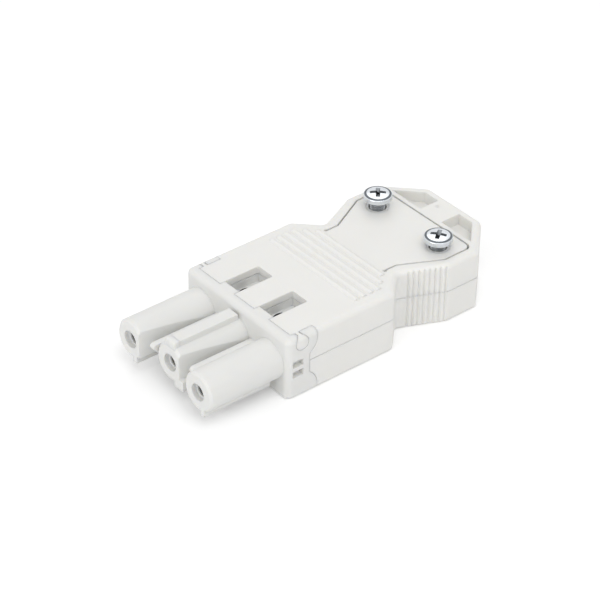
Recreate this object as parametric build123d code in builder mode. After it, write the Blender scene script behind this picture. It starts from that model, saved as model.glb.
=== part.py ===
from build123d import *
from math import atan2, degrees, hypot, radians, sqrt, tan
import os

# Three-pole installation connector, socket half, with a two-shell strain-relief housing.
# +X points to the cable end, the mating barrels point to -X, +Z is up, in millimetres.

# Overall form
overall_length = 69.8
body_half = 15.0
body_height = 12.9
split_rise = 0.45
wall = 1.5
edge_radius = 1.0
foot_chamfer = 0.4
seam_relief = 0.12
plan_radius = 1.5
cut_margin = 1.0

# Lengths along the body, whose barrels take what is left of the overall length
carrier_lip = 1.9
body_length = 24.9
neck_inset = 4.6
flare_length = 9.1
bulb_inset = 0.4
bulb_length = 7.6
rear_chamfer = 7.2

# Barrels of the three poles
centre_setback = 1.45
barrel_radius = 3.9
barrel_nose = 0.5
coding_flat = 2.6
coding_draft = 5.0
mouth_radius = 1.73
mouth_depth = 1.0
ledge_depth = 0.35
ledge_clearance = 0.3

# Keels, foot, key and guide blades that code the mating face
keel_offset = 1.35
keel_thickness = 1.1
keel_drop = 4.35
keel_root = 2.2
keel_end_gap = 1.5
foot_outer = 3.8
foot_inner = 1.2
foot_height = 2.0
key_width = 2.6
key_rise = 4.85
key_root = 2.8
key_start = 1.3
key_end_gap = 0.5
blade_thickness = 1.2
blade_rise = 1.2
blade_drop = 2.6
blade_rake = 3.0
blade_nose = 0.6
blade_setback_left = 0.5
blade_setback_right = 1.8

# Interlock between carrier and shells
joint_clearance = 0.06
carrier_corner = 1.3
wing_thickness = 1.7
waist_depth = 5.05
waist_half = 2.1
flare_reach = 1.75
flare_foot = 1.2
lobe_radius = 1.4
recess_length = 2.4
recess_height = 1.35
recess_web = 0.8
recess_depth = 1.0
recess_setback = 1.2
recess_drop = 0.15

# Latch windows between the poles
window_width = 4.2
window_length = 9.0
window_corner = 0.3
window_sink = 1.8
tab_depth = 1.15
floor_hole_radius = 1.9

# Carrier inside the shells
carrier_clearance = 0.08
carrier_gap = 2.7
chamber_length = 10.5
chamber_half = 2.4
chamber_wall = 1.02
chamber_base = 1.15

# Socket contacts
seat_clearance = 0.03
sleeve_radius = 1.95
sleeve_clearance = 0.04
socket_radius = 1.0
socket_depth = 10.0
slit_width = 0.4
slit_length = 7.0
spring_seat = 0.32
spring_length = 4.0
spring_clearance = 0.02
spring_slit = 0.5

# Terminals
tang_side = 2.0
tang_length = 2.0
tang_clearance = 0.01
block_clearance = 0.1
block_gap = 0.3
block_roof = 1.8
block_web = 0.7
wire_width = 3.0
wire_floor = 0.7
plate_thickness = 0.4
plate_width = 2.6
plate_length = 5.6
plate_clearance = 0.05
terminal_setback = 4.2
terminal_travel = 1.0
terminal_head_radius = 2.0
terminal_head_height = 1.1
terminal_head_room = 0.3
terminal_slot_width = 0.7
terminal_slot_depth = 0.6

# Clamp screws and nuts
thread_radius = 1.5
thread_clearance = 0.04
seat_gap = 0.1
clamp_edge = 5.95
clamp_setback = 5.0
clamp_travel_left = 1.75
clamp_travel_right = 1.3
clamp_tip_gap = 0.4
clamp_hole_radius = 1.8
tongue_hole_radius = 2.2
head_radius = 2.75
head_height = 1.5
head_rim = 1.05
crown_radius = 2.3
recess_span = 3.1
recess_slot = 0.7
recess_cut = 1.0
recess_turn_left = 49.5
recess_turn_right = 36.0
nut_width = 5.5
nut_height = 1.8
nut_clearance = 0.1
nut_seat = 4.2
pillar_half = 4.1
pillar_gap = 0.5

# Clamp tongue, cable way and rear pits
tongue_inset = 2.2
tongue_slot = 0.4
tongue_end_radius = 0.4
tongue_root = 3.4
tongue_run = 1.6
tongue_corner = 1.2
cable_radius = 4.3
saddle_count = 3
saddle_pitch = 4.5
saddle_thickness = 1.2
saddle_land = 1.3
clamp_rib_width = 1.2
clamp_rib_drop = 0.9
clamp_rib_half = 4.0
pit_wall = 1.75
pit_front_wall = 0.95
pit_depth = 2.3
pit_inner = 3.0
pit_corner = 0.6

# Grip ribs on top and grip grooves on the flared sides
rib_count = 6
rib_pitch = 1.72
rib_width = 1.2
rib_rise = 0.3
rib_root = 0.4
rib_inset = 2.6
rib_setback = 1.45
groove_count = 8
groove_pitch = 1.05
groove_start_run = 2.3
groove_side = 0.52

# Stations worked out from the sizes above
tip_x = -overall_length / 2
rear_x = overall_length / 2
chamfer_x = rear_x - rear_chamfer
bulb_x = chamfer_x - bulb_length
neck_x = bulb_x - flare_length
shoulder_x = neck_x - neck_inset
front_x = shoulder_x - body_length
seam_x = front_x + carrier_lip
shell_x = seam_x + joint_clearance
waist_x = front_x + waist_depth
flare_x = waist_x + flare_reach
carrier_rear_x = shoulder_x - carrier_gap
carrier_depth = carrier_rear_x - front_x
chamber_x = carrier_rear_x - chamber_length
block_x = chamber_x + block_gap
block_rear_x = carrier_rear_x - block_gap
terminal_x = block_rear_x - terminal_setback
tongue_root_x = shoulder_x + tongue_root
tongue_rear_x = chamfer_x - tongue_slot
clamp_x = chamfer_x - clamp_setback
neck_half = body_half - neck_inset
bulb_half = body_half - bulb_inset
flare_rise = bulb_half - neck_half
clamp_y = bulb_half - clamp_edge
wing_inner = body_half - wing_thickness
lobe_x = shell_x + lobe_radius
lobe_z = body_height - lobe_radius
split_height = body_height / 2 + split_rise
axis_z = split_height
inner_top = body_height - wall
carrier_low = wall + carrier_clearance
carrier_top = inner_top - carrier_clearance
carrier_half = body_half - wall - carrier_clearance
pole_pitch = carrier_half - chamber_wall - chamber_half
window_offset = pole_pitch / 2
window_floor = inner_top - window_sink
tab_width = window_width - 2 * joint_clearance
chamber_floor = carrier_low + chamber_base
block_top = inner_top - terminal_head_room - terminal_head_height - terminal_travel - seat_gap
wire_low = chamber_floor + wire_floor
wire_top = block_top - block_roof
plate_top = wire_top - plate_clearance
terminal_seat = block_top + terminal_travel + seat_gap

pole_y = {"left": pole_pitch, "centre": 0.0, "right": -pole_pitch}
pole_tip = {"left": tip_x, "centre": tip_x + centre_setback, "right": tip_x}
blade_setback = {1: blade_setback_left, -1: blade_setback_right}
sides = {"left": 1, "right": -1}
clamp_travel = {"left": clamp_travel_left, "right": clamp_travel_right}
recess_turn = {"left": recess_turn_left, "right": recess_turn_right}

on_floor = (Align.CENTER, Align.CENTER, Align.MIN)
from_front = (Align.MIN, Align.CENTER, Align.MIN)
mid_front = (Align.MIN, Align.CENTER, Align.CENTER)
ahead = (Align.MIN, Align.CENTER)
along_x = (0, 90, 0)

os.makedirs("parts", exist_ok=True)


# Housing outline seen from above, from a front edge to the rear wall, moved inwards by inset
def plan_face(front, inset, corner):
    half = [
        (front, body_half),
        (shoulder_x, body_half),
        (neck_x, neck_half),
        (bulb_x, bulb_half),
        (chamfer_x, bulb_half),
        (rear_x, bulb_half - rear_chamfer),
    ]
    other = [(x, -y) for x, y in reversed(half)]
    with BuildSketch() as plan:
        with BuildLine():
            Polyline(half + other, close=True)
        make_face()
        if inset > 0:
            offset(amount=-inset, kind=Kind.INTERSECTION, mode=Mode.REPLACE)
        fillet(plan.vertices().filter_by(lambda v: v.X > waist_x), corner)
    return plan.sketch


# Clamp tongue seen from above, grown all round by the width of its slot when asked
def tongue_face(root, grow):
    half = [
        (root, neck_half - tongue_inset + grow),
        (neck_x + tongue_run, neck_half - tongue_inset + grow),
        (bulb_x + tongue_run / 2, bulb_half - tongue_inset + grow),
        (tongue_rear_x + grow, bulb_half - tongue_inset + grow),
    ]
    other = [(x, -y) for x, y in reversed(half)]
    with BuildSketch() as tongue:
        with BuildLine():
            Polyline(half + other, close=True)
        make_face()
        fillet(tongue.vertices().group_by(Axis.X)[-1], tongue_corner + grow)
    return tongue.sketch


# Side view of the carrier's bow-tie wing, its rear edge moved back by shift
def wing_profile(shift):
    middle = body_height / 2
    waist = waist_x + shift
    flare = flare_x + shift
    floor = -cut_margin
    roof = body_height + cut_margin
    with BuildSketch() as wing:
        with BuildLine():
            low = Polyline((front_x, floor), (flare, floor), (flare, flare_foot))
            TangentArc(low @ 1, (waist, middle - waist_half), tangent=(0, 1))
            Line((waist, middle - waist_half), (waist, middle + waist_half))
            high = Polyline((front_x, roof), (flare, roof), (flare, body_height - flare_foot))
            TangentArc(high @ 1, (waist, middle + waist_half), tangent=(0, -1))
            Line(low @ 0, high @ 0)
        make_face()
    return wing.sketch


# Finished pieces are labelled and written under the same name
def save(piece, name):
    piece.part.label = name
    export_step(piece.part, f"parts/{name}.step")


shell_plan = plan_face(shell_x, 0, plan_radius)
cavity_plan = plan_face(front_x - wall, wall, plan_radius / 2)
pit_plan = plan_face(front_x, pit_wall, pit_corner)
wing_side = wing_profile(0)
wing_side_room = wing_profile(joint_clearance)
tongue_top = tongue_face(tongue_root_x - cut_margin, 0)
tongue_gap = tongue_face(tongue_root_x, tongue_slot)

# Room that the shells leave for the carrier's wings, with a round lobe left standing in it
with BuildPart() as wing_room:
    with BuildSketch(Plane.XZ.offset(-body_half - cut_margin)):
        add(wing_side_room)
        with Locations((lobe_x, lobe_z)):
            Circle(lobe_radius, mode=Mode.SUBTRACT)
    extrude(amount=cut_margin + wing_thickness + joint_clearance)
    mirror(about=Plane.XZ)

# Round cable way through the rear wall, and the upright grip grooves along both flared sides
flare_run = hypot(flare_length, flare_rise)
flare_dir = Vector(flare_length / flare_run, flare_rise / flare_run)
groove_turn = (0, 0, degrees(atan2(flare_rise, flare_length)) + 45)
groove_runs = [groove_start_run + groove_pitch * n for n in range(groove_count)]
groove_spots = [Vector(neck_x, neck_half) + flare_dir * run for run in groove_runs]
with BuildPart() as housing_cuts:
    with Locations((neck_x, 0, axis_z)):
        Cylinder(cable_radius, rear_x - neck_x + cut_margin, rotation=along_x, align=on_floor)
    with Locations(*[(spot.X, spot.Y, -cut_margin) for spot in groove_spots]):
        Box(groove_side, groove_side, body_height + 2 * cut_margin, rotation=groove_turn, align=on_floor)
    mirror(about=Plane.XZ)

# Lower shell: trough with cable saddles, nut pillars and a solid rear wall
with BuildPart() as lower_shell:
    with BuildSketch():
        add(shell_plan)
    extrude(amount=split_height)
    foot_loop = lower_shell.faces().sort_by(Axis.Z)[0].edges()
    chamfer(foot_loop.filter_by(lambda e: e.center().X > waist_x - flare_reach), foot_chamfer)
    with BuildSketch(Plane.XY.offset(wall)):
        add(cavity_plan)
        with Locations((chamfer_x, 0)):
            Rectangle(rear_chamfer, 2 * body_half, align=ahead, mode=Mode.SUBTRACT)
    extrude(amount=body_height, mode=Mode.SUBTRACT)
    saddle_width = 2 * (cable_radius + saddle_land)
    saddle_height = split_height - pillar_gap - wall / 2
    with Locations(*[(chamfer_x - saddle_pitch * (n + 1), 0, wall / 2) for n in range(saddle_count)]):
        Box(saddle_thickness, saddle_width, saddle_height, align=on_floor)
    with Locations((clamp_x, clamp_y, wall / 2), (clamp_x, -clamp_y, wall / 2)):
        Box(2 * pillar_half, 2 * pillar_half, saddle_height, align=on_floor)
    with Locations((clamp_x, clamp_y, -cut_margin), (clamp_x, -clamp_y, -cut_margin)):
        Cylinder(clamp_hole_radius, body_height, align=on_floor, mode=Mode.SUBTRACT)
        pocket = nut_width + 2 * nut_clearance
        Box(pocket, pocket, nut_seat + cut_margin, align=on_floor, mode=Mode.SUBTRACT)
    add(wing_room.part, mode=Mode.SUBTRACT)
    add(housing_cuts.part, mode=Mode.SUBTRACT)
save(lower_shell, "lower_shell")

# Upper shell: latch windows, grip ribs, sprung clamp tongue and rear pits in one moulding
with BuildPart() as upper_shell:
    with BuildSketch(Plane.XY.offset(split_height)):
        add(shell_plan)
    extrude(amount=body_height - split_height)
    top_loop = upper_shell.faces().sort_by(Axis.Z)[-1].edges()
    fillet(top_loop.filter_by(lambda e: e.center().X > waist_x - flare_reach), edge_radius)
    seam_loop = upper_shell.faces().sort_by(Axis.Z)[0].edges()
    chamfer(seam_loop.filter_by(lambda e: e.center().X > waist_x - flare_reach), seam_relief)
    with BuildSketch(Plane.XY.offset(inner_top)):
        add(cavity_plan)
        with Locations((chamfer_x, 0)):
            Rectangle(rear_chamfer, 2 * body_half, align=ahead, mode=Mode.SUBTRACT)
    extrude(amount=-body_height, mode=Mode.SUBTRACT)
    for number in range(rib_count):
        rib_x = tongue_root_x - rib_setback - rib_pitch * number
        rib_shoulder = shoulder_x + body_half - rib_inset * sqrt(2) - rib_x
        rib_half = min(body_half - rib_inset, rib_shoulder)
        with BuildSketch(Plane.XZ):
            with BuildLine():
                crest = (rib_x, body_height + rib_rise)
                near = (rib_x - rib_width / 2, body_height)
                far = (rib_x + rib_width / 2, body_height)
                ThreePointArc(near, crest, far)
                Polyline(far, (far[0], body_height - rib_root), (near[0], body_height - rib_root), near)
            make_face()
        extrude(amount=rib_half, both=True)
    with Locations((clamp_x, 0, inner_top - clamp_rib_drop)):
        Box(clamp_rib_width, 2 * clamp_rib_half, clamp_rib_drop + wall / 2, align=on_floor)
    with BuildSketch(Plane.XY.offset(inner_top - cut_margin)) as windows:
        with Locations((front_x, window_offset), (front_x, -window_offset)):
            Rectangle(seam_x - front_x + window_length, window_width, align=ahead)
        fillet(windows.vertices().group_by(Axis.X)[-1], window_corner)
    extrude(amount=wall + 2 * cut_margin, mode=Mode.SUBTRACT)
    with BuildSketch(Plane.XY.offset(inner_top - cut_margin)):
        add(tongue_gap)
        slot_end = neck_half - tongue_inset + tongue_slot / 2
        with Locations((tongue_root_x, slot_end), (tongue_root_x, -slot_end)):
            Circle(tongue_end_radius)
        add(tongue_top, mode=Mode.SUBTRACT)
    extrude(amount=wall + 2 * cut_margin, mode=Mode.SUBTRACT)
    with Locations((clamp_x, clamp_y, body_height), (clamp_x, -clamp_y, body_height)):
        Cylinder(tongue_hole_radius, 4 * wall, mode=Mode.SUBTRACT)
    with BuildSketch(Plane.XY.offset(body_height)):
        add(pit_plan)
        with Locations((chamfer_x + pit_front_wall, 0)):
            Rectangle(rear_chamfer, 2 * body_half, align=ahead, mode=Mode.INTERSECT)
        Rectangle(overall_length, 2 * pit_inner, mode=Mode.SUBTRACT)
    extrude(amount=-pit_depth, mode=Mode.SUBTRACT)
    add(wing_room.part, mode=Mode.SUBTRACT)
    add(housing_cuts.part, mode=Mode.SUBTRACT)
save(upper_shell, "upper_shell")

# Contact carrier: front plate, barrels, coding shapes, bow-tie wings and terminal chambers
with BuildPart() as contact_carrier:
    with Locations((front_x, 0, 0)):
        Box(waist_depth + flare_reach, 2 * body_half, body_height, align=from_front)
    fillet(contact_carrier.edges().filter_by(Axis.Z).group_by(Axis.X)[0], carrier_corner)
    plate_loop = contact_carrier.faces().sort_by(Axis.Z)[-1].edges()
    fillet(plate_loop.filter_by(lambda e: e.center().X < waist_x), edge_radius)
    plate_foot = contact_carrier.faces().sort_by(Axis.Z)[0].edges()
    chamfer(plate_foot.filter_by(lambda e: e.center().X < waist_x), foot_chamfer)
    with BuildSketch(Plane.XZ):
        with Locations((front_x, body_height / 2)):
            Rectangle(carrier_depth, body_height + 2 * cut_margin, align=ahead)
        add(wing_side, mode=Mode.SUBTRACT)
    extrude(amount=body_half + cut_margin, both=True, mode=Mode.SUBTRACT)
    with Locations((seam_x, 0, -cut_margin)):
        plate_room = body_height + 2 * cut_margin
        Box(carrier_depth, 2 * wing_inner, plate_room, align=from_front, mode=Mode.SUBTRACT)
    insert_height = carrier_top - carrier_low
    with Locations((front_x + carrier_lip / 2, 0, carrier_low)):
        Box(carrier_depth - carrier_lip / 2, 2 * carrier_half, insert_height, align=from_front)
        Box(waist_depth - carrier_lip / 2, 2 * body_half - wing_thickness, insert_height, align=from_front)
    tab_root = seam_x - carrier_lip / 4
    with Locations((tab_root, window_offset, window_floor), (tab_root, -window_offset, window_floor)):
        Box(carrier_lip / 4 + tab_depth, tab_width, body_height - window_floor, align=from_front)
    for name, y in pole_y.items():
        tip = pole_tip[name]
        with BuildSketch(Plane.XZ.offset(-y)) as barrel:
            with BuildLine():
                Polyline(
                    (seam_x, axis_z),
                    (tip, axis_z),
                    (tip, axis_z + barrel_radius),
                    (seam_x, axis_z + barrel_radius),
                    close=True,
                )
            make_face()
            chamfer(barrel.vertices().group_by(Axis.X)[0].sort_by(Axis.Y)[-1], barrel_nose)
        revolve(axis=Axis((0, y, axis_z), (1, 0, 0)))
        if name != "right":
            flat_length = (barrel_radius - coding_flat) / tan(radians(coding_draft))
            with BuildSketch():
                with BuildLine():
                    Polyline(
                        (tip, y - coding_flat),
                        (tip, y - barrel_radius),
                        (tip + flat_length, y - barrel_radius),
                        close=True,
                    )
                make_face()
            extrude(amount=body_height, mode=Mode.SUBTRACT)
        keel_length = front_x - keel_end_gap - tip
        if name == "centre":
            with Locations((tip, y - (foot_inner + foot_outer) / 2, axis_z - keel_drop)):
                Box(keel_length, foot_outer - foot_inner, foot_height, align=from_front)
            with Locations((tip + key_start, y, axis_z + key_root)):
                key_length = front_x - key_end_gap - tip - key_start
                Box(key_length, key_width, key_rise - key_root, align=from_front)
        else:
            with Locations((tip, y - keel_offset, axis_z - keel_drop)):
                Box(keel_length, keel_thickness, keel_drop - keel_root, align=from_front)
    for side in sides.values():
        with BuildSketch(Plane.XZ.offset(-side * pole_pitch / 2)) as blade:
            nose_x = tip_x + blade_setback[side]
            with BuildLine():
                Polyline(
                    (nose_x, axis_z + blade_rise),
                    (nose_x + blade_rake, axis_z - blade_drop),
                    (seam_x, axis_z - blade_drop),
                    (seam_x, axis_z + blade_rise),
                    close=True,
                )
            make_face()
            fillet(blade.vertices().sort_by(Axis.X)[0], blade_nose)
        extrude(amount=blade_thickness / 2, both=True)
    lobe_room = wing_thickness + 2 * joint_clearance
    for side in sides.values():
        with BuildSketch(Plane.XZ.offset(-side * (body_half - lobe_room))):
            with Locations((lobe_x, lobe_z)):
                Circle(lobe_radius + joint_clearance)
        extrude(amount=-side * (lobe_room + cut_margin), mode=Mode.SUBTRACT)
        recess_step = (recess_height + recess_web) / 2
        recess_y = side * (body_half - recess_depth / 2)
        recess_z = body_height / 2 - recess_drop
        for z in (recess_z + recess_step, recess_z - recess_step):
            with Locations((front_x + recess_setback, recess_y, z)):
                Box(recess_length, recess_depth, recess_height, align=mid_front, mode=Mode.SUBTRACT)
        with Locations((seam_x + tab_depth, side * window_offset, window_floor)):
            Box(window_length - tab_depth, window_width, body_height, align=from_front, mode=Mode.SUBTRACT)
        with Locations((seam_x + (window_length + tab_depth) / 2, side * window_offset, 0)):
            Cylinder(floor_hole_radius, body_height, align=on_floor, mode=Mode.SUBTRACT)
    for name, y in pole_y.items():
        tip = pole_tip[name]
        with Locations((tip, y, axis_z)):
            Cylinder(mouth_radius, mouth_depth, rotation=along_x, align=on_floor, mode=Mode.SUBTRACT)
            ledge_radius = socket_radius + ledge_clearance
            ledge_reach = mouth_depth + ledge_depth + cut_margin
            Cylinder(ledge_radius, ledge_reach, rotation=along_x, align=on_floor, mode=Mode.SUBTRACT)
        with Locations((tip + mouth_depth + ledge_depth, y, axis_z)):
            bore_length = chamber_x + cut_margin - tip - mouth_depth - ledge_depth
            bore_radius = sleeve_radius + sleeve_clearance
            Cylinder(bore_radius, bore_length, rotation=along_x, align=on_floor, mode=Mode.SUBTRACT)
        with Locations((chamber_x, y, chamber_floor)):
            chamber_reach = chamber_length + cut_margin
            Box(chamber_reach, 2 * chamber_half, body_height, align=from_front, mode=Mode.SUBTRACT)
save(contact_carrier, "contact_carrier")

# One socket contact, over-spring and screw terminal for each pole
for name, y in pole_y.items():
    contact_x = pole_tip[name] + mouth_depth + ledge_depth + seat_clearance
    neck_radius = sleeve_radius - spring_seat
    neck_length = spring_length + 2 * spring_clearance
    sleeve_x = contact_x + neck_length
    with BuildPart() as socket_contact:
        with Locations((sleeve_x, y, axis_z)):
            Cylinder(sleeve_radius, block_x - sleeve_x, rotation=along_x, align=on_floor)
            tang_end = block_x + tang_length - tang_clearance - sleeve_x
            Box(tang_end, tang_side, tang_side, align=mid_front)
        with Locations((contact_x, y, axis_z)):
            Cylinder(neck_radius, neck_length, rotation=along_x, align=on_floor)
            Cylinder(socket_radius, socket_depth, rotation=along_x, align=on_floor, mode=Mode.SUBTRACT)
            Box(slit_length, slit_width, 3 * sleeve_radius, align=mid_front, mode=Mode.SUBTRACT)
    save(socket_contact, f"socket_contact_{name}")

    with BuildPart() as contact_spring:
        with BuildSketch(Plane.YZ.offset(contact_x + spring_clearance)):
            with Locations((y, axis_z)):
                Circle(sleeve_radius)
                Circle(neck_radius + spring_clearance, mode=Mode.SUBTRACT)
            with Locations((y, axis_z - sleeve_radius)):
                Rectangle(spring_slit, sleeve_radius, mode=Mode.SUBTRACT)
        extrude(amount=spring_length)
    save(contact_spring, f"contact_spring_{name}")

    block_length = block_rear_x - block_x
    wire_depth = block_length - tang_length - block_web
    with BuildPart() as terminal_block:
        with Locations((block_x, y, chamber_floor)):
            block_width = 2 * (chamber_half - block_clearance)
            Box(block_length, block_width, block_top - chamber_floor, align=from_front)
        with Locations((block_x, y, axis_z)):
            tang_hole = tang_side + 2 * tang_clearance
            Box(tang_length, tang_hole, tang_hole, align=mid_front, mode=Mode.SUBTRACT)
        with Locations((block_rear_x - wire_depth, y, wire_low)):
            wire_reach = wire_depth + cut_margin
            Box(wire_reach, wire_width, wire_top - wire_low, align=from_front, mode=Mode.SUBTRACT)
        with Locations((terminal_x, y, plate_top)):
            Cylinder(thread_radius + thread_clearance, body_height, align=on_floor, mode=Mode.SUBTRACT)
    save(terminal_block, f"terminal_block_{name}")

    with BuildPart() as pressure_plate:
        with Locations((terminal_x, y, plate_top - plate_thickness)):
            Box(plate_length, plate_width, plate_thickness, align=on_floor)
    save(pressure_plate, f"pressure_plate_{name}")

    with BuildPart() as terminal_screw:
        with Locations((terminal_x, y, plate_top)):
            Cylinder(thread_radius, terminal_seat - plate_top, align=on_floor)
        with Locations((terminal_x, y, terminal_seat)):
            Cylinder(terminal_head_radius, terminal_head_height, align=on_floor)
        with Locations((terminal_x, y, terminal_seat + terminal_head_height - terminal_slot_depth)):
            slot_span = 3 * terminal_head_radius
            Box(slot_span, terminal_slot_width, terminal_head_height, align=on_floor, mode=Mode.SUBTRACT)
    save(terminal_screw, f"terminal_screw_{name}")

# Clamp screws with bevelled cross-recess heads, and the square nuts that they draw up
for name, side in sides.items():
    clamp_seat = body_height + seat_gap + clamp_travel[name]
    clamp_tip = clamp_tip_gap + clamp_travel[name]
    with BuildPart() as clamp_screw:
        with BuildSketch(Plane.XZ.offset(-side * clamp_y)):
            with BuildLine():
                Polyline(
                    (clamp_x, clamp_seat + head_height),
                    (clamp_x + crown_radius, clamp_seat + head_height),
                    (clamp_x + head_radius, clamp_seat + head_rim),
                    (clamp_x + head_radius, clamp_seat),
                    (clamp_x + thread_radius, clamp_seat),
                    (clamp_x + thread_radius, clamp_tip),
                    (clamp_x, clamp_tip),
                    close=True,
                )
            make_face()
        revolve(axis=Axis((clamp_x, side * clamp_y, 0), (0, 0, 1)))
        with BuildSketch(Plane.XY.offset(clamp_seat + head_height)):
            with Locations((clamp_x, side * clamp_y)):
                Rectangle(recess_span, recess_slot, rotation=recess_turn[name])
                Rectangle(recess_slot, recess_span, rotation=recess_turn[name])
        extrude(amount=-recess_cut, mode=Mode.SUBTRACT)
    save(clamp_screw, f"clamp_screw_{name}")

    with BuildPart() as clamp_nut:
        with Locations((clamp_x, side * clamp_y, nut_seat - nut_height)):
            Box(nut_width, nut_width, nut_height, align=on_floor)
        with Locations((clamp_x, side * clamp_y, 0)):
            nut_bore = thread_radius + thread_clearance
            Cylinder(nut_bore, body_height, align=on_floor, mode=Mode.SUBTRACT)
    save(clamp_nut, f"clamp_nut_{name}")
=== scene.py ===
import math

import bpy
from mathutils import Matrix, Vector


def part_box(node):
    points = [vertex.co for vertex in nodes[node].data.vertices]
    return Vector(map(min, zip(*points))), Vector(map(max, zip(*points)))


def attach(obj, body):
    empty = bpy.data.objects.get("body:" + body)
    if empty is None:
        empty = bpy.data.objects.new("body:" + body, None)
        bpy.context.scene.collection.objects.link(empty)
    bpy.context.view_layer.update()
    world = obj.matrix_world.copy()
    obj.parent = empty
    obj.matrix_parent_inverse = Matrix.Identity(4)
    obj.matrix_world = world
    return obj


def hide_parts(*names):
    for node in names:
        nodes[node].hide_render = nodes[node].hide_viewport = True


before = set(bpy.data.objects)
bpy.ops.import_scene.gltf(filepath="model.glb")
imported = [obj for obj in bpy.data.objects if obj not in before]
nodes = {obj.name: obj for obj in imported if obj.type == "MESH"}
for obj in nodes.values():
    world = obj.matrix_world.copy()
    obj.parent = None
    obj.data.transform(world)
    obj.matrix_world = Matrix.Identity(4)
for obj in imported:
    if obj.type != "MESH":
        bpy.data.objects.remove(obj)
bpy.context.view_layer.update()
mm = 0.001
print("frame loaded:", len(nodes), "nodes")

poleNames = ("left", "centre", "right")
sideNames = ("left", "right")


# shader sockets with plain arithmetic
class Wire:
    def __init__(self, look, socket):
        self.look = look
        self.socket = socket

    def calc(self, operation, first, second):
        sockets = {0: first, 1: second}
        return self.look.add("ShaderNodeMath", {"operation": operation}, sockets).out("Value")

    def __add__(self, other):
        return self.calc("ADD", self, other)

    def __radd__(self, other):
        return self.calc("ADD", other, self)

    def __mul__(self, other):
        return self.calc("MULTIPLY", self, other)

    def __rmul__(self, other):
        return self.calc("MULTIPLY", other, self)


class Placed:
    def __init__(self, look, node):
        self.look = look
        self.node = node

    def out(self, name):
        return Wire(self.look, self.node.outputs[name])


# one material or world tree
class Look:
    def __init__(self, owner):
        owner.use_nodes = True
        self.tree = owner.node_tree
        self.tree.nodes.clear()

    def add(self, kind, settings, sockets):
        node = self.tree.nodes.new(kind)
        for key, value in settings.items():
            setattr(node, key, value)
        for key, value in sockets.items():
            if isinstance(value, Wire):
                self.tree.links.new(value.socket, node.inputs[key])
            else:
                node.inputs[key].default_value = value
        return Placed(self, node)

    def objectSpace(self):
        return self.add("ShaderNodeTexCoord", {}, {}).out("Object")

    def noise(self, space, scale, detail=2.0, rough=0.5):
        return self.add("ShaderNodeTexNoise", {}, {
            "Vector": space, "Scale": scale, "Detail": detail, "Roughness": rough}).out("Fac")

    def blend(self, amount, first, second):
        mixed = self.add("ShaderNodeMix", {"data_type": "RGBA"}, {0: amount, 6: first, 7: second})
        return Wire(self, mixed.node.outputs[2])

    # softened edges with a fine grain over them
    def skin(self, grain, kit):
        edge = self.add("ShaderNodeBevel", {"samples": kit["edgeSamples"]}, {"Radius": kit["edgeRound"]})
        return self.add("ShaderNodeBump", {}, {
            "Strength": kit["grainStrength"], "Distance": kit["grainHeight"],
            "Height": grain, "Normal": edge.out("Normal")}).out("Normal")

    def surface(self, shader):
        self.add("ShaderNodeOutputMaterial", {}, {"Surface": shader})


# moulded plastic of the shells and the carrier
plasticKit = {
    "shellTone": (0.842, 0.838, 0.815, 1.0),
    "shellShade": (0.812, 0.806, 0.778, 1.0),
    # carrier plastic greyer than the shell, partly its own tone and partly painted shade for its shaded
    # front and barrels
    "carrierTone": (0.800, 0.801, 0.786, 1.0),
    "carrierShade": (0.766, 0.766, 0.747, 1.0),
    "mottleScale": 140.0,       # cloudy tone, about 7 mm across
    "mottleDetail": 3.0,
    "grainScale": 5200.0,       # fine moulded grain, about 0.2 mm
    "grainDetail": 2.0,
    "grainRough": 0.6,
    "grainHeight": 0.000006,
    "grainStrength": 0.5,
    "roughLow": 0.36,
    "roughSpan": 0.14,
    "edgeRound": 0.00025,
    "edgeSamples": 8,
    "ior": 1.50,
    "glow": 0.3,                # light carried under the skin
    "glowReach": 0.0012,
    "glowTint": (1.0, 0.88, 0.66),
}


def plasticLook(name, tone, shade):
    kit = plasticKit
    material = bpy.data.materials.new(name)
    look = Look(material)
    space = look.objectSpace()
    mottle = look.noise(space, kit["mottleScale"], kit["mottleDetail"])
    grain = look.noise(space, kit["grainScale"], kit["grainDetail"], kit["grainRough"])
    plastic = look.add("ShaderNodeBsdfPrincipled", {}, {
        "Base Color": look.blend(mottle, shade, tone),
        "Roughness": grain * kit["roughSpan"] + kit["roughLow"],
        "IOR": kit["ior"],
        "Subsurface Weight": kit["glow"],
        "Subsurface Radius": kit["glowTint"],
        "Subsurface Scale": kit["glowReach"],
        "Normal": look.skin(grain, kit)})
    look.surface(plastic.out("BSDF"))
    return material


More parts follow.
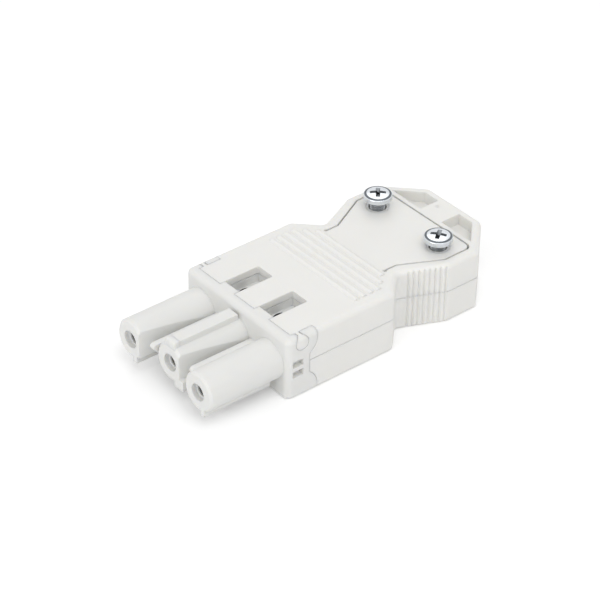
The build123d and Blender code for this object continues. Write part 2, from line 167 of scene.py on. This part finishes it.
# plated and turned metals
metalKit = {
    "zinc": {
        "tone": (0.80, 0.83, 0.86, 1.0), "shade": (0.64, 0.67, 0.71, 1.0),
        "rough": 0.15, "span": 0.14, "grain": 2600.0},
    # painted reflection: a dark ring on the crown's edge standing in for dark surroundings mirrored
    # there
    "rimReflectionZinc": {
        "tone": (0.19, 0.21, 0.23, 1.0), "shade": (0.09, 0.10, 0.11, 1.0),
        "rough": 0.3, "span": 0.2, "grain": 2600.0},
    # painted shade: the cross recess darkened for the shade deep inside it
    "recessShadeZinc": {
        "tone": (0.36, 0.38, 0.40, 1.0), "shade": (0.16, 0.17, 0.18, 1.0),
        "rough": 0.35, "span": 0.2, "grain": 2600.0},
    # painted shade: neck and thread darkened for the shade under the head and in the hole
    "threadShadeZinc": {
        "tone": (0.56, 0.58, 0.60, 1.0), "shade": (0.24, 0.25, 0.26, 1.0),
        "rough": 0.26, "span": 0.2, "grain": 2600.0},
    # painted shade: tin contacts darkened for the shade deep in the barrel bores
    "tinWithBoreShade": {
        "tone": (0.34, 0.33, 0.31, 1.0), "shade": (0.20, 0.195, 0.18, 1.0),
        "rough": 0.3, "span": 0.2, "grain": 2200.0},
    "brass": {
        "tone": (0.78, 0.62, 0.33, 1.0), "shade": (0.62, 0.46, 0.22, 1.0),
        "rough": 0.25, "span": 0.2, "grain": 1800.0},
    "spring": {
        "tone": (0.58, 0.58, 0.58, 1.0), "shade": (0.45, 0.45, 0.46, 1.0),
        "rough": 0.26, "span": 0.18, "grain": 2400.0},
    # painted shade: near-black finish for sleeves standing in for the shade deep in the window-floor
    # holes
    "shadeSleeveBlack": {
        "tone": (0.070, 0.068, 0.064, 1.0), "shade": (0.035, 0.034, 0.032, 1.0),
        "rough": 0.45, "span": 0.2, "grain": 2400.0},
}

# what all the metals share
metalSkin = {
    "cloudShare": 0.25,         # scale of the clouding against the grain's
    "detail": 3.0,
    "grainRough": 0.6,
    "grainHeight": 0.000004,
    "grainStrength": 0.4,
    "edgeRound": 0.00008,
    "edgeSamples": 4,
}


def metalLook(name):
    kit = metalKit[name]
    material = bpy.data.materials.new(name)
    look = Look(material)
    space = look.objectSpace()
    cloud = look.noise(space, kit["grain"] * metalSkin["cloudShare"], metalSkin["detail"])
    grain = look.noise(space, kit["grain"], metalSkin["detail"], metalSkin["grainRough"])
    metal = look.add("ShaderNodeBsdfPrincipled", {}, {
        "Base Color": look.blend(cloud, kit["shade"], kit["tone"]),
        "Metallic": 1.0,
        "Roughness": grain * kit["span"] + kit["rough"],
        "Normal": look.skin(grain, metalSkin)})
    look.surface(metal.out("BSDF"))
    return material


def paint(piece, material):
    piece.data.materials.clear()
    piece.data.materials.append(material)


looks = {
    "shell": plasticLook("shellPlastic", plasticKit["shellTone"], plasticKit["shellShade"]),
    "carrier": plasticLook("carrierPlastic", plasticKit["carrierTone"], plasticKit["carrierShade"]),
}
for metalName in metalKit:
    looks[metalName] = metalLook(metalName)
print("materials ready:", len(looks))

finishOf = {"contact_carrier": "carrier", "upper_shell": "shell", "lower_shell": "shell"}
for pole in poleNames:
    # contacts get tin darkened with painted shade of the bores
    finishOf["socket_contact_" + pole] = "tinWithBoreShade"
    finishOf["contact_spring_" + pole] = "spring"
    finishOf["terminal_block_" + pole] = "brass"
    finishOf["terminal_screw_" + pole] = "zinc"
    finishOf["pressure_plate_" + pole] = "spring"
for side in sideNames:
    finishOf["clamp_screw_" + side] = "zinc"
    finishOf["clamp_nut_" + side] = "zinc"
for node, finish in finishOf.items():
    paint(nodes[node], looks[finish])
print("finishes set on the CAD nodes")

weldGap = 0.002 * mm            # points closer than this become one
facing = 0.9                    # how squarely a face has to point up or down


def editAll(piece):
    bpy.ops.object.select_all(action="DESELECT")
    bpy.context.view_layer.objects.active = piece
    piece.select_set(True)
    bpy.ops.object.mode_set(mode="EDIT")
    bpy.ops.mesh.select_mode(type="VERT")
    bpy.ops.mesh.select_all(action="SELECT")


def leaveEdit():
    bpy.ops.object.mode_set(mode="OBJECT")


def clearSelection(piece, kind):
    editAll(piece)
    bpy.ops.mesh.select_mode(type=kind)
    bpy.ops.mesh.select_all(action="DESELECT")
    leaveEdit()


# both of these end in edit mode with only the wanted faces or edges selected
def selectFaces(piece, wanted):
    clearSelection(piece, "FACE")
    for face in piece.data.polygons:
        face.select = wanted(face.center, face.normal)
    bpy.ops.object.mode_set(mode="EDIT")


def selectEdges(piece, wanted):
    clearSelection(piece, "EDGE")
    spots = piece.data.vertices
    for edge in piece.data.edges:
        first, second = (spots[n].co for n in edge.vertices)
        edge.select = wanted((first + second) / 2)
    bpy.ops.object.mode_set(mode="EDIT")


def applyModifier(piece, name):
    bpy.ops.object.select_all(action="DESELECT")
    bpy.context.view_layer.objects.active = piece
    piece.select_set(True)
    bpy.ops.object.modifier_apply(modifier=name)


# a block of the given size, its place in its mesh
def addBlock(name, size, middle):
    bpy.ops.object.select_all(action="DESELECT")
    bpy.ops.mesh.primitive_cube_add(size=1, scale=size, location=middle)
    block = bpy.context.object
    block.name = name
    bpy.ops.object.transform_apply(location=True, rotation=True, scale=True)
    return block


# a chain of edges in the XZ plane, pulled out of a single point
def traceLine(name, points):
    bpy.ops.object.select_all(action="DESELECT")
    bpy.ops.mesh.primitive_plane_add(size=mm)
    piece = bpy.context.object
    piece.name = name
    editAll(piece)
    bpy.ops.mesh.merge(type="CENTER")
    spot = Vector((points[0][0], 0, points[0][1]))
    bpy.ops.transform.translate(value=spot)
    for x, z in points[1:]:
        step = Vector((x, 0, z)) - spot
        bpy.ops.mesh.extrude_vertices_move(TRANSFORM_OT_translate={"value": step})
        spot += step
    leaveEdit()
    return piece


# turns a traced line about Z, climbing by rise in each of its turns
def turnLine(piece, steps, turns=1, rise=0.0):
    turned = piece.modifiers.new("turned", "SCREW")
    turned.steps = steps
    turned.render_steps = steps
    turned.iterations = turns
    turned.screw_offset = rise
    turned.use_merge_vertices = True
    turned.merge_threshold = weldGap / 2
    applyModifier(piece, "turned")
    editAll(piece)
    bpy.ops.mesh.remove_doubles(threshold=weldGap)
    bpy.ops.mesh.normals_make_consistent(inside=False)
    leaveEdit()


def cutWith(piece, tool):
    cut = piece.modifiers.new("cut", "BOOLEAN")
    cut.operation = "DIFFERENCE"
    cut.solver = "EXACT"
    cut.object = tool
    applyModifier(piece, "cut")
    bpy.data.objects.remove(tool)


# a copy with a mesh of its own, moved and turned in the mesh
def copyTo(pattern, name, place):
    piece = bpy.data.objects.new(name, pattern.data.copy())
    bpy.context.scene.collection.objects.link(piece)
    piece.data.transform(place)
    return piece


# clamp screw, modelled once on the Z axis with its seat at zero, lengths in millimetres
screwKit = {
    "headRadius": 2.75,
    "headHeight": 1.5,
    "rimHeight": 1.0,           # top of the upright rim
    "rimRound": 0.06,
    "rimDrop": 0.05,            # crown's edge to the rim's rounding
    "crownRadius": 2.62,
    "crownRise": 0.42,          # doming of the crown
    "crownSteps": 7,
    "ringWidth": 0.42,          # painted dark reflection ring round the bright crown
    "footBevel": 0.14,
    "headSteps": 72,
    "threadRadius": 1.5,
    "threadRoot": 1.2,
    "threadFlanks": (0.12, 0.46, 0.58, 0.92),   # where the flanks start and end, in pitches
    "pitch": 0.5,
    "threadSteps": 40,
    "neck": 0.45,               # plain neck under the head
    "shankTop": -0.01,          # faces below this are neck and thread
    "crossSpan": 4.7,
    "crossWidth": 1.2,
    "crossDepth": 0.82,
    "crossTaper": 0.42,         # floor of the cross as a share of its top
    "crossTurn": {"left": 49.5, "right": 36.0},
    "recessFloor": 0.3,         # faces of the cross lie above this
    "recessLip": 0.06,          # and this far below the crown
    "smoothAngle": 26,
}


def headOutline():
    kit = screwKit
    top, rise, edge = kit["headHeight"], kit["crownRise"], kit["crownRadius"]
    steps = kit["crownSteps"]
    spots = [n / steps * (edge - kit["ringWidth"]) for n in range(steps + 1)] + [edge]
    outline = [(out, top - rise * (out / edge) ** 2) for out in spots]
    outline += [
        (kit["headRadius"] - kit["rimRound"], kit["rimHeight"] + kit["rimDrop"]),
        (kit["headRadius"], kit["rimHeight"] - kit["rimRound"]),
        (kit["headRadius"], kit["footBevel"]),
        (kit["headRadius"] - kit["footBevel"], 0),
        (kit["threadRoot"], 0),
        (kit["threadRoot"], -kit["neck"]),
        (0, -kit["neck"]),
    ]
    return [(x * mm, z * mm) for x, z in outline]


# one bar of the cross, narrowing downwards
def taperBar(turn):
    kit = screwKit
    top = kit["headHeight"] * mm
    size = (kit["crossSpan"] * mm, kit["crossWidth"] * mm, 2 * kit["crossDepth"] * mm)
    bar = addBlock("crossBar", size, (0, 0, top))
    editAll(bar)
    bpy.ops.transform.rotate(value=math.radians(turn), orient_axis="Z", center_override=(0, 0, 0))
    leaveEdit()
    selectFaces(bar, lambda spot, normal: normal.z < -facing)
    taper = kit["crossTaper"]
    bpy.ops.transform.resize(value=(taper, taper, 1), center_override=(0, 0, top))
    leaveEdit()
    return bar


def makeThread(length):
    kit = screwKit
    pitch, neck = kit["pitch"] * mm, kit["neck"] * mm
    root, crest = kit["threadRoot"] * mm, kit["threadRadius"] * mm
    turns = math.ceil((length - neck) / pitch) + 2
    low = -neck - (turns - 1) * pitch
    rampUp, crestStart, crestEnd, rampDown = (low + share * pitch for share in kit["threadFlanks"])
    thread = traceLine("screwThread", [
        (root, low), (root, rampUp), (crest, crestStart), (crest, crestEnd),
        (root, rampDown), (root, low + pitch)])
    turnLine(thread, kit["threadSteps"], turns, pitch)
    # trimmed at the tip, then halfway up the neck
    for level, clearUpper in ((-length, False), (-0.5 * neck, True)):
        editAll(thread)
        bpy.ops.mesh.bisect(
            plane_co=(0, 0, level), plane_no=(0, 0, 1), use_fill=True,
            clear_inner=not clearUpper, clear_outer=clearUpper)
        leaveEdit()
    return thread


def makeScrew(length):
    kit = screwKit
    head = traceLine("screwHead", headOutline())
    turnLine(head, kit["headSteps"])
    for turn in (0, 90):
        cutWith(head, taperBar(turn))
    thread = makeThread(length)
    bpy.ops.object.select_all(action="DESELECT")
    thread.select_set(True)
    head.select_set(True)
    bpy.context.view_layer.objects.active = head
    bpy.ops.object.join()
    editAll(head)
    bpy.ops.mesh.normals_make_consistent(inside=False)
    leaveEdit()
    bpy.ops.object.shade_smooth_by_angle(angle=math.radians(kit["smoothAngle"]))
    finishScrew(head)
    return head


# the ring round the crown carries a painted dark reflection, the cross painted shade of its recess and
# the neck and thread painted shade under the head, so all three are darker than the rest
def finishScrew(screw):
    kit = screwKit
    inner = kit["crownRadius"] - kit["ringWidth"]
    finishes = ("zinc", "rimReflectionZinc", "recessShadeZinc", "threadShadeZinc")
    for finish in finishes:
        screw.data.materials.append(looks[finish])
    for face in screw.data.polygons:
        out = math.hypot(face.center.x, face.center.y) / mm
        high = face.center.z / mm
        crown = kit["headHeight"] - kit["crownRise"] * (out / kit["crownRadius"]) ** 2
        finish = "zinc"
        if inner < out < kit["crownRadius"] and high > kit["rimHeight"]:
            finish = "rimReflectionZinc"
        elif out < inner and kit["recessFloor"] < high < crown - kit["recessLip"]:
            finish = "recessShadeZinc"
        elif high < kit["shankTop"]:
            finish = "threadShadeZinc"
        face.material_index = finishes.index(finish)


# both screws are as long as each other and stand at heights of their own
def placeScrews():
    headHeight = screwKit["headHeight"] * mm
    low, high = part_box("clamp_screw_left")
    pattern = makeScrew(high.z - low.z - headHeight)
    for side in sideNames:
        node = "clamp_screw_" + side
        low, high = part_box(node)
        centre = (low + high) / 2
        turn = Matrix.Rotation(math.radians(screwKit["crossTurn"][side]), 4, "Z")
        place = Matrix.Translation((centre.x, centre.y, high.z - headHeight)) @ turn
        screw = copyTo(pattern, "clampScrew" + side.capitalize(), place)
        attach(screw, node + "_body")
        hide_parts(node)
    bpy.data.objects.remove(pattern)


placeScrews()
print("clamp screws turned and cut")

# lips that narrow the tongue's two screw holes at the deck, in millimetres
lipKit = {
    "deck": 12.9,
    "inner": 1.7,
    "outer": 2.19,
    "depth": 1.0,
    "edge": 0.07,
    "steps": 48,
    "smoothAngle": 30,
}


# a ring on the Z axis, its top at the deck and its inner edge chamfered
def makeRing(name, kit, material):
    top, foot = kit["deck"], kit["deck"] - kit["depth"]
    inner, outer, edge = kit["inner"], kit["outer"], kit["edge"]
    outline = [
        (outer, foot), (inner, foot), (inner, top - edge),
        (inner + edge, top), (outer, top), (outer, foot)]
    ring = traceLine(name, [(x * mm, z * mm) for x, z in outline])
    turnLine(ring, kit["steps"])
    bpy.ops.object.shade_smooth_by_angle(angle=math.radians(kit["smoothAngle"]))
    paint(ring, material)
    return ring


def placeLips():
    pattern = makeRing("lipPattern", lipKit, looks["shell"])
    for side in sideNames:
        low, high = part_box("clamp_screw_" + side)
        centre = (low + high) / 2
        place = Matrix.Translation((centre.x, centre.y, 0))
        lip = copyTo(pattern, "screwLip" + side.capitalize(), place)
        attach(lip, "root")
    bpy.data.objects.remove(pattern)


placeLips()
print("screw holes lipped")

# painted shade: dark sleeves standing in for the deep shade in the holes of the window floors, in
# millimetres
shadeSleeveKit = {
    "spots": {"left": (-11.53, 5.0), "right": (-11.53, -5.0)},
    "deck": 9.57,               # a little below the window floors
    "inner": 1.74,
    "outer": 1.89,
    "depth": 5.0,
    "edge": 0.05,
    "steps": 48,
    "smoothAngle": 30,
}


def placeShadeSleeves():
    pattern = makeRing("shadeSleevePattern", shadeSleeveKit, looks["shadeSleeveBlack"])
    for side, (x, y) in shadeSleeveKit["spots"].items():
        place = Matrix.Translation((x * mm, y * mm, 0))
        sleeve = copyTo(pattern, "windowShadeSleeve" + side.capitalize(), place)
        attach(sleeve, "root")
    bpy.data.objects.remove(pattern)


placeShadeSleeves()
print("window holes sleeved")

# front end of the centre barrel's key, brought out to the barrel's face, in millimetres
keyNoseKit = {
    "faceSetback": 1.45,        # centre barrel's face behind the outer two
    "noseGap": 0.12,
    "length": 1.3,
    "width": 2.6,
    "foot": 9.7,
    "top": 11.75,
    "frontBevel": 0.45,
    "frontSteps": 5,
    "sideBevel": 0.1,
    "sideSteps": 2,
    "smoothAngle": 35,
}


def makeKeyNose():
    kit = keyNoseKit
    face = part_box("contact_carrier")[0].x + kit["faceSetback"] * mm
    front = face + kit["noseGap"] * mm
    rear = face + kit["length"] * mm
    foot, top = kit["foot"] * mm, kit["top"] * mm
    half = kit["width"] * mm / 2
    near = 0.01 * mm
    size = (rear - front, 2 * half, top - foot)
    nose = addBlock("keyNose", size, ((front + rear) / 2, 0, (foot + top) / 2))
    selectEdges(nose, lambda spot: spot.x < front + near and spot.z > top - near)
    bpy.ops.mesh.bevel(offset=kit["frontBevel"] * mm, segments=kit["frontSteps"])
    leaveEdit()
    selectEdges(nose, lambda spot: (
        abs(spot.y) > half - near and foot + near < spot.z and spot.x < rear - near))
    bpy.ops.mesh.bevel(offset=kit["sideBevel"] * mm, segments=kit["sideSteps"])
    leaveEdit()
    bpy.ops.object.shade_smooth_by_angle(angle=math.radians(kit["smoothAngle"]))
    paint(nose, looks["carrier"])
    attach(nose, "root")


# gate mark that the moulding left on the rear block, in millimetres
gateKit = {
    "spot": (31.6, 1.48),
    "deck": 12.9,
    "radius": 0.32,
    "steps": 28,
    "rise": 0.08,
    "lip": 0.1,
    "dish": 0.14,
    "smoothAngle": 35,
}


def makeGateMark():
    kit = gateKit
    x, y = kit["spot"]
    place = (x * mm, y * mm, kit["deck"] * mm)
    bpy.ops.object.select_all(action="DESELECT")
    bpy.ops.mesh.primitive_cylinder_add(
        vertices=kit["steps"], radius=kit["radius"] * mm, depth=2 * kit["rise"] * mm, location=place)
    mark = bpy.context.object
    mark.name = "gateMark"
    bpy.ops.object.transform_apply(location=True, rotation=True, scale=True)
    selectFaces(mark, lambda spot, normal: normal.z > facing)
    bpy.ops.mesh.inset(thickness=kit["lip"] * mm)
    bpy.ops.transform.translate(value=(0, 0, -kit["dish"] * mm))
    leaveEdit()
    bpy.ops.object.shade_smooth_by_angle(angle=math.radians(kit["smoothAngle"]))
    paint(mark, looks["shell"])
    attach(mark, "root")


makeKeyNose()
makeGateMark()
print("key nose and gate mark added")


# camera fitted to the photograph, lengths in metres
cameraKit = {
    "azimuth": -39.81,
    "elevation": 35.55,
    "roll": 0.85,
    "target": (-0.003294, 0.000150, 0.007201),
    "distance": 0.47035,
    "lens": 152.68,
    "sensor": 36.0,
    "clipStart": 0.01,
}


def placeCamera():
    kit = cameraKit
    azimuth = math.radians(kit["azimuth"])
    elevation = math.radians(kit["elevation"])
    roll = math.radians(kit["roll"])
    level = math.cos(elevation)
    back = Vector((math.sin(azimuth) * level, -math.cos(azimuth) * level, math.sin(elevation)))
    across = Vector((0, 0, 1)).cross(back).normalized()
    upright = back.cross(across)
    right = across * math.cos(roll) + upright * math.sin(roll)
    up = upright * math.cos(roll) - across * math.sin(roll)
    spot = Vector(kit["target"]) + back * kit["distance"]
    bpy.ops.object.camera_add()
    camera = bpy.context.object
    camera.name = "photoCamera"
    camera.data.lens = kit["lens"]
    camera.data.sensor_width = kit["sensor"]
    camera.data.clip_start = kit["clipStart"]
    turn = Matrix((right, up, back)).transposed().to_4x4()
    camera.matrix_world = Matrix.Translation(spot) @ turn
    bpy.context.scene.camera = camera


bpy.ops.object.select_all(action="DESELECT")
placeCamera()
print("camera placed")

# white sweep, soft boxes and sky fill
studioKit = {
    "floorSize": 4.0,
    "floorTone": (0.93, 0.93, 0.93, 1.0),
    "floorLift": 0.16,          # takes the seen floor up to white
    "floorGloss": 0.1,
    "paperScale": 900.0,
    "paperRough": 0.85,
    "paperSpan": 0.1,
    "skyFill": 0.66,
    "lamps": {
        "topBox": {"spot": (-0.1, -0.38, 0.75), "size": 0.6, "power": 2.0},
        "frontBox": {"spot": (-0.78, -0.1, 0.3), "size": 0.5, "power": 1.3},
        "rearBox": {"spot": (0.35, 0.4, 0.65), "size": 0.5, "power": 0.5},
    },
}
white = (1, 1, 1, 1)


def makeFloor():
    kit = studioKit
    bpy.ops.mesh.primitive_plane_add(size=kit["floorSize"], location=(0, 0, 0))
    floor = bpy.context.object
    floor.name = "studioFloor"
    material = bpy.data.materials.new("floorPaper")
    look = Look(material)
    paper = look.noise(look.objectSpace(), kit["paperScale"])
    seen = look.add("ShaderNodeLightPath", {}, {}).out("Is Camera Ray")
    matte = look.add("ShaderNodeBsdfPrincipled", {}, {
        "Base Color": kit["floorTone"],
        "Roughness": paper * kit["paperSpan"] + kit["paperRough"],
        "Specular IOR Level": kit["floorGloss"]})
    lift = look.add("ShaderNodeEmission", {}, {"Color": white, "Strength": seen * kit["floorLift"]})
    both = look.add("ShaderNodeAddShader", {}, {0: matte.out("BSDF"), 1: lift.out("Emission")})
    look.surface(both.out("Shader"))
    paint(floor, material)


# white where it is seen or mirrored, and only a fill elsewhere
def makeSky():
    fill = studioKit["skyFill"]
    world = bpy.data.worlds.new("studioSky")
    bpy.context.scene.world = world
    look = Look(world)
    path = look.add("ShaderNodeLightPath", {}, {})
    shown = path.out("Is Camera Ray") + path.out("Is Glossy Ray") + path.out("Is Transmission Ray")
    once = look.add("ShaderNodeMath", {"operation": "MINIMUM"}, {0: shown, 1: 1.0}).out("Value")
    sky = look.add("ShaderNodeBackground", {}, {"Color": white, "Strength": once * (1.0 - fill) + fill})
    look.add("ShaderNodeOutputWorld", {}, {"Surface": sky.out("Background")})


def makeLamps():
    for name, kit in studioKit["lamps"].items():
        bpy.ops.object.light_add(type="AREA", location=kit["spot"])
        lamp = bpy.context.object
        lamp.name = name
        lamp.data.shape = "SQUARE"
        lamp.data.size = kit["size"]
        lamp.data.energy = kit["power"]
        aim = Vector((0, 0, 0)) - Vector(kit["spot"])
        lamp.rotation_euler = aim.to_track_quat("-Z", "Y").to_euler()


makeFloor()
makeSky()
makeLamps()
bpy.context.scene.view_settings.view_transform = "Standard"
print("studio lit")
